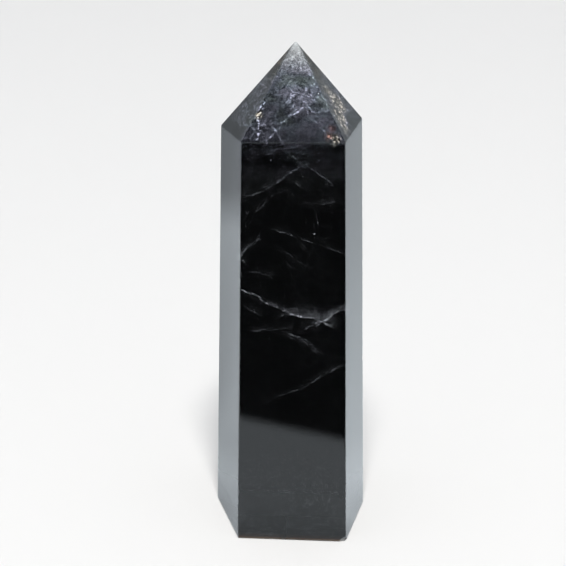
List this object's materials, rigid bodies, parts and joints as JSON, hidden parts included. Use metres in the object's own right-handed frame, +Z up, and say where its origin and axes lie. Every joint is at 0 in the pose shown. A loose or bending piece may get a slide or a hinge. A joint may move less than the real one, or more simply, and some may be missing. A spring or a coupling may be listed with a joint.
{
  "type": "morion quartz point",
  "caption": "Polished six-sided tower of nearly black smoky quartz with a faceted, cloudy point and a flat foot to stand on.",
  "frame": {"origin": "centre of the foot's box, on the surface that the point stands on", "axes": "+Z up toward the point, -Y out of the widest, front face, +X to the right seen from the front"},
  "size_m": [0.0288, 0.0292, 0.0948],
  "materials": {
    "morion": "polished"
  },
  "bodies": {
    "root": {"quartz_point": "morion"}
  },
  "joints": []
}
